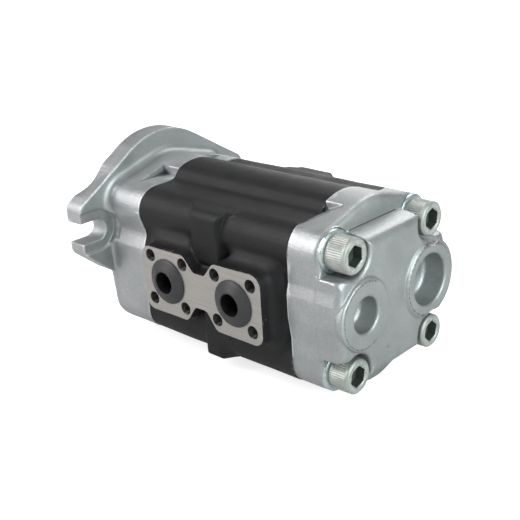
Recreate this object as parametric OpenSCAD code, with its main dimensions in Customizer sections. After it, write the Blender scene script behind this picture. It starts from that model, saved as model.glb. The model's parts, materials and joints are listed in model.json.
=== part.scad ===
// Tandem external gear pump with a two-bolt mounting flange.
// Millimetres. The origin is the centre of the mounting face, on the drive shaft's axis.
// +X runs from the flange to the rear cover, +Z is up and the delivery ports face -Y.

/* [Gears] */
// Module of the gear teeth
gear_module = 2.85; // [2.7:0.05:2.9]
// Number of teeth on each gear
gear_teeth = 12; // [11:1:12]
// Face width of the front pair of gears
front_gear_w = 18; // [10:1:24]
// Face width of the rear pair of gears
rear_gear_w = 16; // [10:1:24]
// Play between meshing teeth along the pitch circle
tooth_play = 0.3; // [0.2:0.05:0.5]
// Diameter of the journals that carry the gears
journal_d = 20; // [16:0.5:21]

/* [Casings] */
// Distance from the mounting face to the front joint
front_joint_x = 39.5; // [38:0.5:60]
// Distance between the front and rear joints
housing_len = 106.9; // [104:0.5:130]
// Thickness of the rear cover's flange
rear_flange_t = 19.1; // [14:0.1:26]
// Width of the casings across the screws
case_w = 88; // [86:0.5:94]
// Height of the casings beside the gear humps
case_h = 84; // [82:0.5:90]
// Radius of the casings' corners
case_corner_r = 12.4; // [10:0.1:14]
// Metal around the gear chambers, which makes the humps
hump_wall = 13; // [11.5:0.1:15]
// Width of the raised hump above each gear
hump_w = 26.6; // [20:0.2:34]
// Depth of the shallow valley along each side
valley_depth = 4; // [0.5:0.1:5]
// Thickness of the wall between the two gear chambers
centre_wall = 6; // [5:0.5:10]
// Length of the four bosses at mid-length
mid_boss_len = 21; // [16:0.5:26]
// Height of the upper bosses above the housing's sides
upper_boss_h = 2.6; // [1:0.1:4]
// Height of the lower bosses below the housing
lower_boss_h = 1.8; // [1:0.1:4]

/* [Screws] */
// Distance between the screws across the pump
screw_gap_y = 62.5; // [60:0.5:64]
// Distance between the screws up the pump
screw_gap_z = 62.5; // [60:0.5:64]
// Thread diameter of the cover screws
screw_d = 12; // [8:1:12]
// Length of the screws' thread in the front cover
screw_grip = 23.3; // [16:0.1:25]
// Diameter of the screw heads
head_d = 18; // [14:0.1:19]
// Height of the screw heads
head_h = 12; // [8:0.1:14]
// Outer diameter of the washers
washer_d = 21.6; // [19:0.1:22]
// Thickness of the washers
washer_t = 2.5; // [1:0.1:3]
// Depth of the seats that are cut in the rear cover for the washers
seat_depth = 1.8; // [0.5:0.1:4]

/* [Rear cover] */
// Height of the plateau above the rear cover's flange
plateau_h = 12.6; // [8:0.1:16]
// Distance of the plateau's upper and lower edges from the screws' centre
plateau_half_h = 38.3; // [34:0.1:40]
// Radius of the pocket around each screw head
pocket_r = 11.2; // [11.1:0.1:13]
// Distance of the pockets' straight walls from the screws
pocket_wall_gap = 10.2; // [9.8:0.1:12]
// Height of the bosses above the plateau
boss_h = 1.9; // [0.5:0.1:4]
// Distance of the near boss from the middle plane
near_boss_y = 26; // [24:0.1:28]
// Diameter of the near boss
near_boss_d = 36.6; // [30:0.1:38]
// Diameter of the recess in the near boss
near_recess_d = 18.2; // [10:0.1:26]
// Depth of the recess in the near boss
near_recess_depth = 11; // [4:0.5:16]
// Distance of the far boss from the middle plane
far_boss_y = 27.3; // [25:0.1:29]
// Diameter of the far boss
far_boss_d = 39; // [34:0.1:41]
// Diameter of the collar behind the far boss
far_collar_d = 42; // [40:0.1:44]
// Diameter of the recess in the far boss
far_recess_d = 27.4; // [20:0.1:30]
// Depth of the recess in the far boss
far_recess_depth = 13; // [4:0.5:16]

/* [Mounting flange] */
// Thickness of the mounting flange
flange_t = 12.5; // [10:0.5:16]
// Radius of the round part of the flange
flange_r = 46.5; // [45:0.5:50]
// Distance between the mounting slots
slot_gap = 106.4; // [104:0.1:110]
// Width of the mounting slots
slot_w = 12; // [10:0.1:13]
// Width of the flange over the ears
ears_w = 128; // [124:0.5:132]
// Height of the ears' upper edge at the tip
ear_top = 15.4; // [13:0.1:18]
// Depth of the ears' lower edge at the tip
ear_bottom = 12.1; // [11:0.1:15]
// Diameter of the pilot spigot
pilot_d = 82.55; // [80:0.01:84]
// Height of the pilot spigot
pilot_h = 6.35; // [4:0.01:9]
// Radius of the fillet between flange and neck
neck_fillet = 4.5; // [3:0.5:10]
// Depth of the hollows in the flange's rim above the ears
rim_hollow_depth = 3.5; // [1:0.1:4]

/* [Drive shaft] */
// Diameter of the shaft end
shaft_d = 19.05; // [15:0.01:19.5]
// Length of the shaft in front of the mounting face
shaft_len = 31.8; // [24:0.1:44]
// Width of the square key
key_w = 4.76; // [3:0.01:6]
// Length of the key
key_len = 20; // [12:0.5:22]

/* [Ports] */
// Height of the delivery pad above the housing's side
pad_h = 9.7; // [6:0.1:16]
// Width of each square of the delivery pad
pad_w = 38; // [35:0.5:40]
// Radius of the fillet between the delivery pad and the housing's side
pad_fillet = 5; // [2:0.5:7]
// Width of the square suction pad
suction_pad_w = 54; // [50:0.5:60]
// Distance between the delivery ports
delivery_gap = 48.6; // [46:0.1:52]
// Diameter of the delivery ports
delivery_d = 16; // [10:0.5:18]
// Spacing of the delivery ports' tapped holes
delivery_holes = 24.75; // [23:0.05:26]
// Diameter of the delivery ports' tapped holes
delivery_thread_d = 6; // [5:0.5:8]
// Diameter of the suction port
suction_d = 27; // [20:0.5:30]
// Spacing of the suction port's tapped holes
suction_holes = 38.9; // [36:0.1:42]
// Diameter of the suction port's tapped holes
suction_thread_d = 8; // [6:0.5:10]
// Diameter of the delivery plugs' heads
plug_head_d = 24.9; // [20:0.1:26]
// Width of the suction plug's rim around its port
suction_plug_rim = 3; // [2:0.1:5]
// Height of the plugs' heads
plug_head_h = 3.3; // [2.5:0.1:5]
// Depth of the plugs in their ports
plug_depth = 12; // [8:0.5:15]
// Wall of the delivery plugs around their blind hole
delivery_plug_wall = 2; // [1.5:0.1:4]
// Wall of the suction plug around its blind hole
suction_plug_wall = 2.5; // [1.5:0.1:4]

/* [Hidden] */
$fn = 64;

// Clearances
run_gap = 0.05;
face_gap = 0.05;
screw_gap = 0.6;
cut = 1;

// Gears
axis_gap = gear_module * gear_teeth;
pitch_r = axis_gap / 2;
tip_r = pitch_r + gear_module;
root_r = pitch_r - 1.25 * gear_module;
pressure_angle = 25;
base_r = pitch_r * cos(pressure_angle);
chamber_r = tip_r + run_gap;
drive_z = 0;
driven_z = -axis_gap;
mid_z = -axis_gap / 2;

// Stations along the shaft
rear_joint_x = front_joint_x + housing_len;
flange_back_x = rear_joint_x + rear_flange_t;
plateau_x = flange_back_x + plateau_h;
boss_x = plateau_x + boss_h;
seat_x = flange_back_x - seat_depth;
head_x = seat_x + washer_t;
port_shift = 0.85;
mid_x = front_joint_x + housing_len / 2 + port_shift;
front_port_x = mid_x - delivery_gap / 2;
rear_port_x = mid_x + delivery_gap / 2;
front_wall_x = mid_x - centre_wall / 2;
rear_wall_x = mid_x + centre_wall / 2;
screw_len = head_x - front_joint_x + screw_grip;
neck_x = 9.4;
neck_edge_r = 3;

// Casing section
half_w = case_w / 2;
half_h = case_h / 2;
hump_r = chamber_r + hump_wall;
hump_half_w = hump_w / 2;
screw_y = screw_gap_y / 2;
screw_z = screw_gap_z / 2;
screw_r = screw_d / 2;
valley_z = [7, 16.5, 27.5];
hump_rise = 4.2;

// Recesses beside the humps: length, height of the floor at the joint and how far the floor rises
front_recess = [8.5, half_h + 0.6, 1.8];
rear_recess = [11, half_h - 0.8, 5.6];

// Bosses at mid-length: middle of each pair, corner radius and the fillets beside them
upper_boss_x = mid_x - 1.5;
lower_boss_x = mid_x + 1.1;
mid_boss_r = 5;
mid_boss_fillet = 6;
mid_boss_edge = 2;
mid_boss_y = 24;
mid_boss_z = 12;

// Mounting slots and ear webs
spot_r = 12;
spot_depth = 1;
spot_cut = 6;
ear_web_y = 38;
ear_web_z = 28;
lower_flange_r = flange_r - 2.5;

// Hollows in the rim: where they start beyond the round part, and how long they are
hollow_start = 13;
hollow_len = 26;

// Delivery pad: notch between its squares, draft of its walls, and how much its upper edge is lowered
pad_notch = 9.5;
pad_notch_w = 8;
pad_draft = 0.08;
pad_root = 14;
pad_lowered = 1.2;
pad_tilt = 0.017;

// Ports inside the housing
port_end_y = 8;
gallery_r = 8;
gallery_y = 27;
suction_branch_r = 7;
suction_branch_len = 22;
delivery_tap_depth = 14;
suction_tap_depth = 17;

// Bearing blocks, bushes and seals
journal_r = journal_d / 2;
bush_wall = 2;
bush_r = journal_r + run_gap + bush_wall;
block_seal_w = 2;
block_seal_depth = 1.8;
joint_seal_w = 2.4;
joint_seal_wall = 2.2;
joint_seal_depth = 1.8;
dowel_r = 3;
dowel_len = 14;
dowel_y = 36.5;
dowel_z = 9;

// Shaft, seal and quill
shaft_r = shaft_d / 2;
key_end = 3;
seal_r = 17.5;
seal_t = 8;
ring_t = 1.5;
ring_gap = 6;
quill_r = 6;
quill_tooth_h = 0.8;
quill_len = 26;
quill_bore_len = 14;

SCREWS = [[screw_y, screw_z], [-screw_y, screw_z], [-screw_y, -screw_z], [screw_y, -screw_z]];

// Plane geometry

function arc(c, r, a0, a1, n) =
    [for (i = [0:n]) let (a = a0 + (a1 - a0) * i / n) [c[0] + r * cos(a), c[1] + r * sin(a)]];

function unit(v) = v / norm(v);

// Points of one corner p between its neighbours a and b, rounded to radius r
function corner(a, p, b, r) =
    r <= 0 ? [p] :
    let (
        u = unit(a - p),
        v = unit(b - p),
        half = acos(u * v) / 2,
        c = p + unit(u + v) * r / sin(half),
        s = p + u * r / tan(half) - c,
        e = p + v * r / tan(half) - c,
        start = atan2(s[1], s[0]),
        sweep = (atan2(e[1], e[0]) - start + 900) % 360 - 180
    ) arc(c, r, start, start + sweep, max(2, ceil(abs(sweep) / 9)));

function flat(p) = [p[0], p[1]];

// Outline through corners given as [y, z, radius]
function rounded(p) =
    let (n = len(p))
    [for (i = [0:n - 1])
        each corner(flat(p[(i + n - 1) % n]), flat(p[i]), flat(p[(i + 1) % n]), p[i][2])];

function flipped(p) = [for (i = [len(p) - 1:-1:0]) p[i]];

// How far a fillet of radius r spreads at distance t from where it starts
function spread(r, t) = t >= r ? 0 : r - sqrt(r * r - pow(r - max(t, 0), 2));

// Side view of a block from x0 to x1 with fillets at its foot and rounded upper edges
function flared(x0, x1, top, r, edge) = concat(
    [[x0 - r, 0]],
    arc([x0 - r, top - edge], r, -90, 0, 5),
    arc([x0 + edge, top - edge], edge, 180, 90, 3),
    arc([x1 - edge, top - edge], edge, 90, 0, 3),
    arc([x1 + r, top - edge], r, 180, 270, 5),
    [[x1 + r, 0]]);

// A quarter from the side up to the top, repeated in all four quarters
function all_quarters(q) = concat(
    q,
    [for (p = flipped(q)) [-p[0], p[1], p[2]]],
    [for (p = q) [-p[0], -p[1], p[2]]],
    [for (p = flipped(q)) [p[0], -p[1], p[2]]]);

// The arc over a gear, from angle a almost to the top
function hump(r, a, n) =
    [for (i = [0:n]) let (t = a + (90 - a) * i / (n + 0.5)) [r * cos(t), pitch_r + r * sin(t), 0]];

// Housing section, with valleys in its sides and humps that rise from the flats
function housing_quarter() =
    let (a = acos(hump_half_w / hump_r), z = pitch_r + hump_r * sin(a))
    concat(
        [[half_w, valley_z[0], 6], [half_w - valley_depth, valley_z[1], 6], [half_w, valley_z[2], 8],
            [half_w, half_h, case_corner_r],
            [hump_half_w + hump_rise, half_h, 5], [hump_half_w - 0.5, z, 6]],
        hump(hump_r, a + 8, 4));

// Cover section, where straight lines run from the humps to the corners
function cover_quarter(grow) =
    let (
        r = hump_r + grow,
        cr = case_corner_r + grow,
        w = half_w + grow,
        dy = w - cr,
        dz = half_h + grow - cr - pitch_r,
        a = atan2(dz, dy) + acos((r - cr) / norm([dy, dz])),
        z = (r + pitch_r * sin(a) - w * cos(a)) / sin(a)
    ) concat([[w, z, cr]], hump(r, a, 3));

function cover_outline(grow) = rounded(all_quarters(cover_quarter(grow)));

module section_x(x, length) {
    translate([x, 0, mid_z]) rotate([90, 0, 90]) linear_extrude(length) children();
}

module rod_x(x, length, r, y, z) {
    translate([x, y, z]) rotate([0, 90, 0]) cylinder(r = r, h = length);
}

// A rod that points to -Y from y
module rod_y(x, y, z, length, r) {
    translate([x, y, z]) rotate([90, 0, 0]) cylinder(r = r, h = length);
}

// A skin through sections of equal length, each given as [x, points about the screws' centre]
module loft(sections) {
    n = len(sections[0][1]);
    m = len(sections);
    skin = [for (s = [0:m - 2], i = [0:n - 1])
        let (a = s * n + i, b = s * n + (i + 1) % n)
        each [[a, a + n, b], [b, a + n, b + n]]];
    polyhedron(
        points = [for (s = sections, p = s[1]) [s[0], p[0], p[1] + mid_z]],
        faces = concat([[for (i = [0:n - 1]) i]], skin, [[for (i = [n - 1:-1:0]) (m - 1) * n + i]]),
        convexity = 8);
}

// Screw holes through a casing
module screw_holes(x, length, r) {
    for (p = SCREWS) rod_x(x, length, r, p[0], p[1] + mid_z);
}

// Recesses beside the humps at a joint; dir is the way they run, and size their length, floor and rise
module hump_recesses(joint_x, dir, size) {
    for (sy = [-1, 1], sz = [-1, 1])
        translate([joint_x, 0, mid_z]) scale([dir, sy, sz])
            translate([0, hump_half_w, size[1]])
                rotate([-90, 0, 0]) linear_extrude(half_w)
                    polygon([[-cut, 0], [0, 0], [size[0], -size[2]], [size[0], -hump_r], [-cut, -hump_r]]);
}

// Front cover

// Direction square to the flange's straight edges
function edge_angle() = atan2(ear_top, ears_w / 2) + acos(flange_r / norm([ears_w / 2, ear_top]));

// Outline of the mounting flange about the shaft's axis
function flange_outline() =
    let (
        a = edge_angle(),
        side = [[ears_w / 2, -ear_bottom, 5], [ears_w / 2, ear_top, 6]],
        web = [[ear_web_y, -ear_web_z, 0], [half_w + 2.5, 1 - ear_web_z, 3]]
    ) rounded(concat(
        web, side,
        [for (p = arc([0, 0], flange_r, a + 2, 178 - a, 14)) [p[0], p[1], 0]],
        [for (p = flipped(side)) [-p[0], p[1], p[2]]],
        [for (p = flipped(web)) [-p[0], p[1], p[2]]],
        [for (p = arc([0, 0], lower_flange_r, 222, 318, 14)) [p[0], p[1], 0]]));

// Section of a rim hollow that is depth deep
function hollow_section(depth) =
    let (
        a = edge_angle(),
        out = [cos(a), sin(a)],
        along = [sin(a), -cos(a)],
        n = 10,
        edge = [for (i = [0:n])
            out * (flange_r + 0.2 - depth * sin(180 * i / n)) + along * (hollow_start + hollow_len * i / n)]
    ) concat(edge, [edge[n] + out * 9, edge[0] + out * 9]);

// Hollows in the flange's rim above the ears, which run out towards its back face
module rim_hollows() {
    steps = [for (x = [-cut, flange_t + cut]) [x, hollow_section(rim_hollow_depth * (1.05 - x / flange_t))]];
    translate([0, 0, -mid_z]) {
        loft(steps);
        loft([for (s = steps) [s[0], [for (p = flipped(s[1])) [-p[0], p[1]]]]]);
    }
}

// Neck section at x: it spreads into the flange, and its lower front edge is rounded off
function neck_section(x) =
    let (
        lift = 1 - spread(neck_edge_r, x - neck_x) / half_h,
        base = cover_outline(0),
        wide = cover_outline(spread(neck_fillet, x - flange_t))
    ) [x, [for (i = [0:len(base) - 1]) let (
        share = max(0, min(1, (base[i][1] + mid_z + ear_web_z + 2) / 25)),
        p = base[i] + (wide[i] - base[i]) * share
    ) [p[0], p[1] < 0 ? p[1] * lift : p[1]]]];

module front_cover() color([0.72, 0.74, 0.74]) {
    difference() {
        union() {
            rotate([90, 0, 90]) linear_extrude(flange_t) polygon(flange_outline());
            loft([for (x = concat(
                [for (t = [0, 0.1, 0.4, 1]) neck_x + neck_edge_r * t],
                [for (t = [0.05, 0.15, 0.35, 0.65, 1]) flange_t + neck_fillet * t],
                [front_joint_x])) neck_section(x)]);
            rod_x(-pilot_h, pilot_h + cut, pilot_d / 2, 0, 0);
        }
        for (side = [-1, 1]) {
            rod_x(-cut, flange_t + 2 * cut, slot_w / 2, side * slot_gap / 2, 0);
            translate([flange_t / 2, side * (slot_gap / 2 + spot_r), 0])
                cube([flange_t + 2 * cut, 2 * spot_r, slot_w], center = true);
            translate([flange_t - spot_depth, side * slot_gap / 2, 0]) {
                rotate([0, 90, 0]) cylinder(r = spot_r, h = spot_cut);
                translate([spot_cut / 2, side * spot_r, 0])
                    cube([spot_cut, 2 * spot_r, 2 * spot_r], center = true);
            }
        }
        rim_hollows();
        hump_recesses(front_joint_x, -1, front_recess);
        // Seal bore, snap ring groove and shaft bore
        rod_x(-pilot_h - cut, pilot_h + seal_t + cut, seal_r, 0, 0);
        rod_x(-ring_t - 0.1, ring_t, seal_r + 1.5, 0, 0);
        rod_x(0, front_joint_x + cut, journal_r + 2.5, 0, 0);
        rod_x(front_joint_x - 4, 4 + cut, journal_r + 1.5, 0, driven_z);
        screw_holes(head_x - screw_len - 2, screw_len, screw_r);
        joint_seal_path(front_joint_x - joint_seal_depth, joint_seal_depth + cut, 0);
        dowel_rods(front_joint_x - dowel_len / 2 - 0.5, dowel_len / 2 + cut);
    }
}

// Gear housing

// Outline of the delivery pad about the middle of the pair of ports, with its upper edge lowered
function pad_outline(grow) =
    let (
        h = pad_w / 2,
        quarter = [[delivery_gap / 2 + h, h, 6], [delivery_gap / 2 - h + 5.5, h, 4],
            [pad_notch_w / 2, pad_notch, 3]]
    ) rounded([for (p = all_quarters(quarter))
        let (drop = p[1] > pad_notch ? pad_lowered - pad_tilt * p[0] : 0)
        [p[0] + sign(p[0]) * grow, p[1] + sign(p[1]) * grow - drop, p[2] + grow / 2]]);

// Delivery pad, whose walls lean out and spread into the housing's side
module delivery_pad() {
    face = half_w + pad_h;
    pad_len = delivery_gap / 2 + pad_w;
    pad_over = 2;
    steps = concat([half_w - pad_root], [for (t = [0, 0.1, 0.3, 0.6, 1]) half_w + pad_fillet * t],
        [face + pad_over]);
    translate([mid_x, 0, 0]) rotate([0, 0, -90]) difference() {
        loft([for (t = steps) [t, pad_outline(pad_draft * (face - t) + spread(pad_fillet, t - half_w))]]);
        translate([face, -pad_len, mid_z - pad_w]) cube([pad_over + cut, 2 * pad_len, 2 * pad_w]);
    }
}

module suction_pad() {
    h = suction_pad_w / 2;
    translate([mid_x, half_w - pad_root, mid_z]) rotate([-90, 0, 0]) linear_extrude(pad_root + pad_h)
        polygon(rounded([[h, h, 8], [-h, h, 8], [-h, -h, 8], [h, -h, 8]]));
}

// Both gear chambers
module chambers() {
    for (z = [drive_z, driven_z]) {
        rod_x(front_joint_x - cut, front_wall_x - front_joint_x + cut, chamber_r, 0, z);
        rod_x(rear_wall_x, rear_joint_x - rear_wall_x + cut, chamber_r, 0, z);
    }
    rod_x(front_wall_x - cut, centre_wall + 2 * cut, quill_r + 1.5, 0, drive_z);
}

// Bosses at mid-length: the upper ones stand out at the sides, the lower ones below
module mid_bosses() {
    side_y = half_w + upper_boss_h;
    foot_y = half_w + 0.4;
    foot_z = half_h + lower_boss_h;
    for (sy = [-1, 1]) translate([0, 0, mid_z]) scale([1, sy, 1]) {
        intersection() {
            mid_boss_section(upper_boss_x, [[side_y, half_h - 1.6, mid_boss_r], [mid_boss_y + 6, half_h, 0],
                [mid_boss_y, half_h - 12, 0], [mid_boss_y, mid_boss_z, 0], [side_y, mid_boss_z, 2]]);
            linear_extrude(2 * half_h) mid_boss_outline(upper_boss_x, side_y);
        }
        intersection() {
            mid_boss_section(lower_boss_x, [[foot_y, -foot_z, mid_boss_r], [foot_y, -mid_boss_z, 0],
                [mid_boss_y, -mid_boss_z, 0], [mid_boss_y, -foot_z, 3]]);
            rotate([-90, 0, 0]) linear_extrude(2 * half_w) mid_boss_outline(lower_boss_x, foot_z);
            translate([0, 0, -2 * half_h]) linear_extrude(2 * half_h) mid_boss_outline(lower_boss_x, foot_y);
        }
    }
}

module mid_boss_section(x, points) {
    translate([x - mid_boss_len, 0, 0]) rotate([90, 0, 90]) linear_extrude(2 * mid_boss_len)
        polygon(rounded(points));
}

module mid_boss_outline(x, top) {
    half = mid_boss_len / 2;
    polygon(flared(x - half, x + half, top, mid_boss_fillet, mid_boss_edge));
}

module tapped_holes(x, y, spacing, r, depth) {
    for (sx = [-1, 1], sz = [-1, 1])
        rod_y(x + sx * spacing / 2, y, mid_z + sz * spacing / 2, depth, r);
}

module gear_housing() color([0.16, 0.16, 0.17]) {
    side_y = half_w + pad_h;
    difference() {
        union() {
            section_x(front_joint_x, housing_len) polygon(rounded(all_quarters(housing_quarter())));
            delivery_pad();
            suction_pad();
            mid_bosses();
        }
        chambers();
        screw_holes(front_joint_x - cut, housing_len + 2 * cut, screw_r + screw_gap);
        for (x = [front_port_x, rear_port_x]) {
            rod_y(x, -port_end_y, mid_z, side_y - port_end_y + cut, delivery_d / 2);
            tapped_holes(x, delivery_tap_depth - side_y, delivery_holes, delivery_thread_d / 2,
                delivery_tap_depth + cut);
            rod_y(x, port_end_y + suction_branch_len, mid_z, suction_branch_len, suction_branch_r);
        }
        rod_x(front_port_x - suction_branch_r, delivery_gap + 2 * suction_branch_r,
            gallery_r, gallery_y, mid_z);
        rod_y(mid_x, side_y + cut, mid_z, side_y + cut - gallery_y, suction_d / 2);
        tapped_holes(mid_x, side_y + cut, suction_holes, suction_thread_d / 2, suction_tap_depth);
        dowel_rods(front_joint_x - cut, dowel_len / 2 + 0.5 + cut);
        dowel_rods(rear_joint_x - dowel_len / 2 - 0.5, dowel_len / 2 + 0.5 + cut);
    }
}

// Rear cover

// Plateau block: its edges draw in towards the outer face, and its corners lie in the screw pockets
module plateau() {
    corner = 16.5;
    steps = [[0.3 - seat_depth, 0, 0], [plateau_h - 3.4, 0.3, 1.8], [plateau_h - 1.8, 0.8, 2.7],
        [plateau_h - 0.7, 1.7, 3.9], [plateau_h - 0.2, 2.5, 5], [plateau_h, 3.6, 6.4]];
    loft([for (s = steps) let (y = half_w - s[1], z = plateau_half_h - s[2])
        [flange_back_x + s[0], all_quarters([[y, z - corner, 0], [y - corner, z, 0]])]]);
}

// Side wall of a screw pocket at distance r, with its upper edge rounded outwards
function pocket_wall(r, edge_r) =
    concat(arc([plateau_x - edge_r, r + edge_r], edge_r, -90, 0, 5), [[boss_x + 10, r + edge_r]]);

// Space around each screw head, open to the two outer sides of its corner
module screw_pockets() {
    edge_r = 2.2;
    out = 30;
    around = concat([[0, seat_x], [pocket_r, seat_x]],
        [for (p = pocket_wall(pocket_r, edge_r)) [p[1], p[0]]], [[0, boss_x + 10]]);
    beside = concat([[flange_back_x, out], [flange_back_x, -pocket_wall_gap]],
        [for (p = pocket_wall(pocket_wall_gap, edge_r)) [p[0], -p[1]]], [[boss_x + 10, out]]);
    for (sy = [-1, 1], sz = [-1, 1])
        translate([0, 0, mid_z]) scale([1, sy, sz]) translate([0, screw_y, screw_z]) {
            rotate([90, 0, 90]) rotate_extrude() polygon(around);
            translate([0, out, 0]) rotate([90, 0, 0]) linear_extrude(out) polygon(beside);
            linear_extrude(out) polygon(beside);
        }
}

// Boss from x0 up to top, with its edge rounded
module boss(y, d, x0, top) {
    r = d / 2;
    edge_r = 1.2;
    translate([0, y, mid_z]) rotate([90, 0, 90]) rotate_extrude()
        polygon(concat([[0, x0], [r, x0]], arc([r - edge_r, top - edge_r], edge_r, 0, 90, 4), [[0, top]]));
}

module boss_recess(y, d, depth) {
    r = d / 2;
    floor_r = 3;
    translate([0, y, mid_z]) rotate([90, 0, 90]) rotate_extrude()
        polygon(concat([[0, boss_x + cut], [r + 1.6, boss_x + cut]],
            arc([r + 1.6, boss_x - 1.6], 1.6, 90, 180, 4),
            arc([r - floor_r - 0.6, boss_x - depth + floor_r], floor_r, 0, -90, 5),
            [[0, boss_x - depth]]));
}

module rear_cover() color([0.70, 0.73, 0.73]) {
    difference() {
        union() {
            loft([for (s = [[rear_joint_x, 0], [flange_back_x - 3, 0], [flange_back_x - 1.5, 0.4],
                [flange_back_x - 0.4, 1.5], [flange_back_x, 3]]) [s[0], cover_outline(-s[1])]]);
            plateau();
            boss(-near_boss_y, near_boss_d, plateau_x - 2, boss_x);
            boss(far_boss_y, far_boss_d, flange_back_x - 10, boss_x);
            boss(far_boss_y + 1.1, far_collar_d, flange_back_x - 2, boss_x - 0.6);
        }
        screw_pockets();
        screw_holes(rear_joint_x - cut, 2 * plateau_h + rear_flange_t, screw_r + screw_gap);
        hump_recesses(rear_joint_x, 1, rear_recess);
        boss_recess(-near_boss_y, near_recess_d, near_recess_depth);
        boss_recess(far_boss_y, far_recess_d, far_recess_depth);
        for (z = [drive_z, driven_z]) rod_x(rear_joint_x - cut, 3 + cut, journal_r - 2, 0, z);
        joint_seal_path(rear_joint_x - cut, joint_seal_depth + cut, 0);
        dowel_rods(rear_joint_x - cut, dowel_len / 2 + 0.5 + cut);
    }
}

// Screws, washers and dowels

module cover_screws() color([0.72, 0.73, 0.70]) {
    chamfer = 0.7;
    hex_w = 10;
    hex_depth = 7;
    for (p = SCREWS) translate([head_x, p[0], p[1] + mid_z]) rotate([90, 0, 90]) difference() {
        rotate_extrude() polygon([[0, -screw_len], [screw_r - 1, -screw_len], [screw_r, -screw_len + 1],
            [screw_r, 0], [head_d / 2, 0], [head_d / 2, head_h - chamfer], [head_d / 2 - chamfer, head_h],
            [0, head_h]]);
        translate([0, 0, head_h - hex_depth]) cylinder(d = hex_w / cos(30), h = hex_depth + cut, $fn = 6);
    }
}

module screw_washers() color([0.75, 0.78, 0.80]) {
    for (p = SCREWS) difference() {
        rod_x(seat_x, washer_t, washer_d / 2, p[0], p[1] + mid_z);
        rod_x(seat_x - cut, washer_t + 2 * cut, screw_r + 0.5, p[0], p[1] + mid_z);
    }
}

// A rod at each dowel's place, for the dowels and for their holes
module dowel_rods(x, length) {
    for (s = [-1, 1]) rod_x(x, length, dowel_r, s * dowel_y, mid_z - s * dowel_z);
}

module front_dowels() color("silver") dowel_rods(front_joint_x - dowel_len / 2, dowel_len);

module rear_dowels() color("silver") dowel_rods(rear_joint_x - dowel_len / 2, dowel_len);

// Joint seals

// A loop around both gear chambers; gap narrows it on every side
module joint_seal_path(x, length, gap) {
    inner = chamber_r + joint_seal_wall + gap;
    outer = chamber_r + joint_seal_wall + joint_seal_w - gap;
    section_x(x, length) difference() {
        polygon(loop_outline(outer));
        polygon(loop_outline(inner));
    }
}

function loop_outline(r) = concat(arc([0, pitch_r], r, 0, 180, 32), arc([0, -pitch_r], r, 180, 360, 32));

module front_joint_seal() color([0.12, 0.12, 0.12])
    joint_seal_path(front_joint_x - joint_seal_depth, joint_seal_depth, 0.05);

module rear_joint_seal() color([0.12, 0.12, 0.12])
    joint_seal_path(rear_joint_x, joint_seal_depth, 0.05);

// Gears

function involute(t) = [base_r * (cos(t) + t * PI / 180 * sin(t)), base_r * (sin(t) - t * PI / 180 * cos(t))];

function turned(p, a) = [p[0] * cos(a) - p[1] * sin(a), p[0] * sin(a) + p[1] * cos(a)];

// One flank from the root to the tip, its pitch point at angle 0
function flank() =
    let (
        tip_t = sqrt(pow(tip_r / base_r, 2) - 1) * 180 / PI,
        pitch_t = sqrt(pow(pitch_r / base_r, 2) - 1) * 180 / PI,
        p = involute(pitch_t),
        shift = atan2(p[1], p[0])
    ) concat([[root_r * cos(shift), -root_r * sin(shift)]],
        [for (i = [0:5]) turned(involute(tip_t * i / 5), -shift)]);

// Gear outline with a tooth centred at angle a
function gear_outline(a) =
    let (
        half = 90 / gear_teeth - tooth_play * 90 / PI / pitch_r,
        side = flank()
    ) [for (k = [0:gear_teeth - 1]) let (c = a + 360 * k / gear_teeth)
        each concat(
            [for (p = side) turned(p, c - half)],
            [for (p = flipped(side)) turned([p[0], -p[1]], c + half)])];

module gear_body(x, width, z, a) {
    translate([x, 0, z]) rotate([90, 0, 90]) linear_extrude(width) polygon(gear_outline(a));
}

// Shallow splines of the quill, grown by gap for its bores
function spline_outline(gap) =
    [for (k = [0:9], s = [[0, 0], [10, 0], [16, 1], [28, 1]])
        let (r = quill_r + gap - s[1] * quill_tooth_h) [r * cos(36 * k + s[0]), r * sin(36 * k + s[0])]];

module quill_bore(x) {
    translate([x, 0, 0]) rotate([90, 0, 90]) linear_extrude(quill_bore_len) polygon(spline_outline(0.06));
}

module front_drive_gear() color([0.62, 0.63, 0.65]) {
    x = front_port_x - front_gear_w / 2;
    difference() {
        union() {
            gear_body(x, front_gear_w, drive_z, 90);
            rod_x(0, front_wall_x - face_gap, journal_r, 0, drive_z);
            translate([0, 0, drive_z]) rotate([90, 0, 90]) rotate_extrude()
                polygon([[0, -shaft_len], [shaft_r - 1, -shaft_len], [shaft_r, -shaft_len + 1],
                    [shaft_r, -0.5], [journal_r - 0.2, -0.5], [journal_r, -0.3], [journal_r, 1], [0, 1]]);
        }
        quill_bore(front_wall_x - face_gap - quill_bore_len + 0.001);
        key_seat(0);
    }
}

// Space of the key, sunk half its height in the shaft
module key_seat(gap) {
    translate([key_end - shaft_len, -key_w / 2 + gap, shaft_r - key_w / 2 + gap])
        cube([key_len, key_w - 2 * gap, key_w - gap]);
}

module shaft_key() color([0.60, 0.61, 0.62]) key_seat(0.02);

module coupling_quill() color([0.60, 0.61, 0.62])
    translate([mid_x - quill_len / 2, 0, 0]) rotate([90, 0, 90]) linear_extrude(quill_len)
        polygon(spline_outline(0));

module rear_drive_gear() color([0.62, 0.63, 0.65]) {
    difference() {
        union() {
            gear_body(rear_port_x - rear_gear_w / 2, rear_gear_w, drive_z, 90);
            rod_x(rear_wall_x + face_gap, rear_joint_x - rear_wall_x - 1, journal_r, 0, drive_z);
        }
        quill_bore(rear_wall_x + face_gap - 0.001);
    }
}

module front_driven_gear() color([0.62, 0.63, 0.65]) {
    gear_body(front_port_x - front_gear_w / 2, front_gear_w, driven_z, 90 + 180 / gear_teeth);
    rod_x(front_joint_x + 0.5, front_wall_x - front_joint_x - 1, journal_r, 0, driven_z);
}

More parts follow.
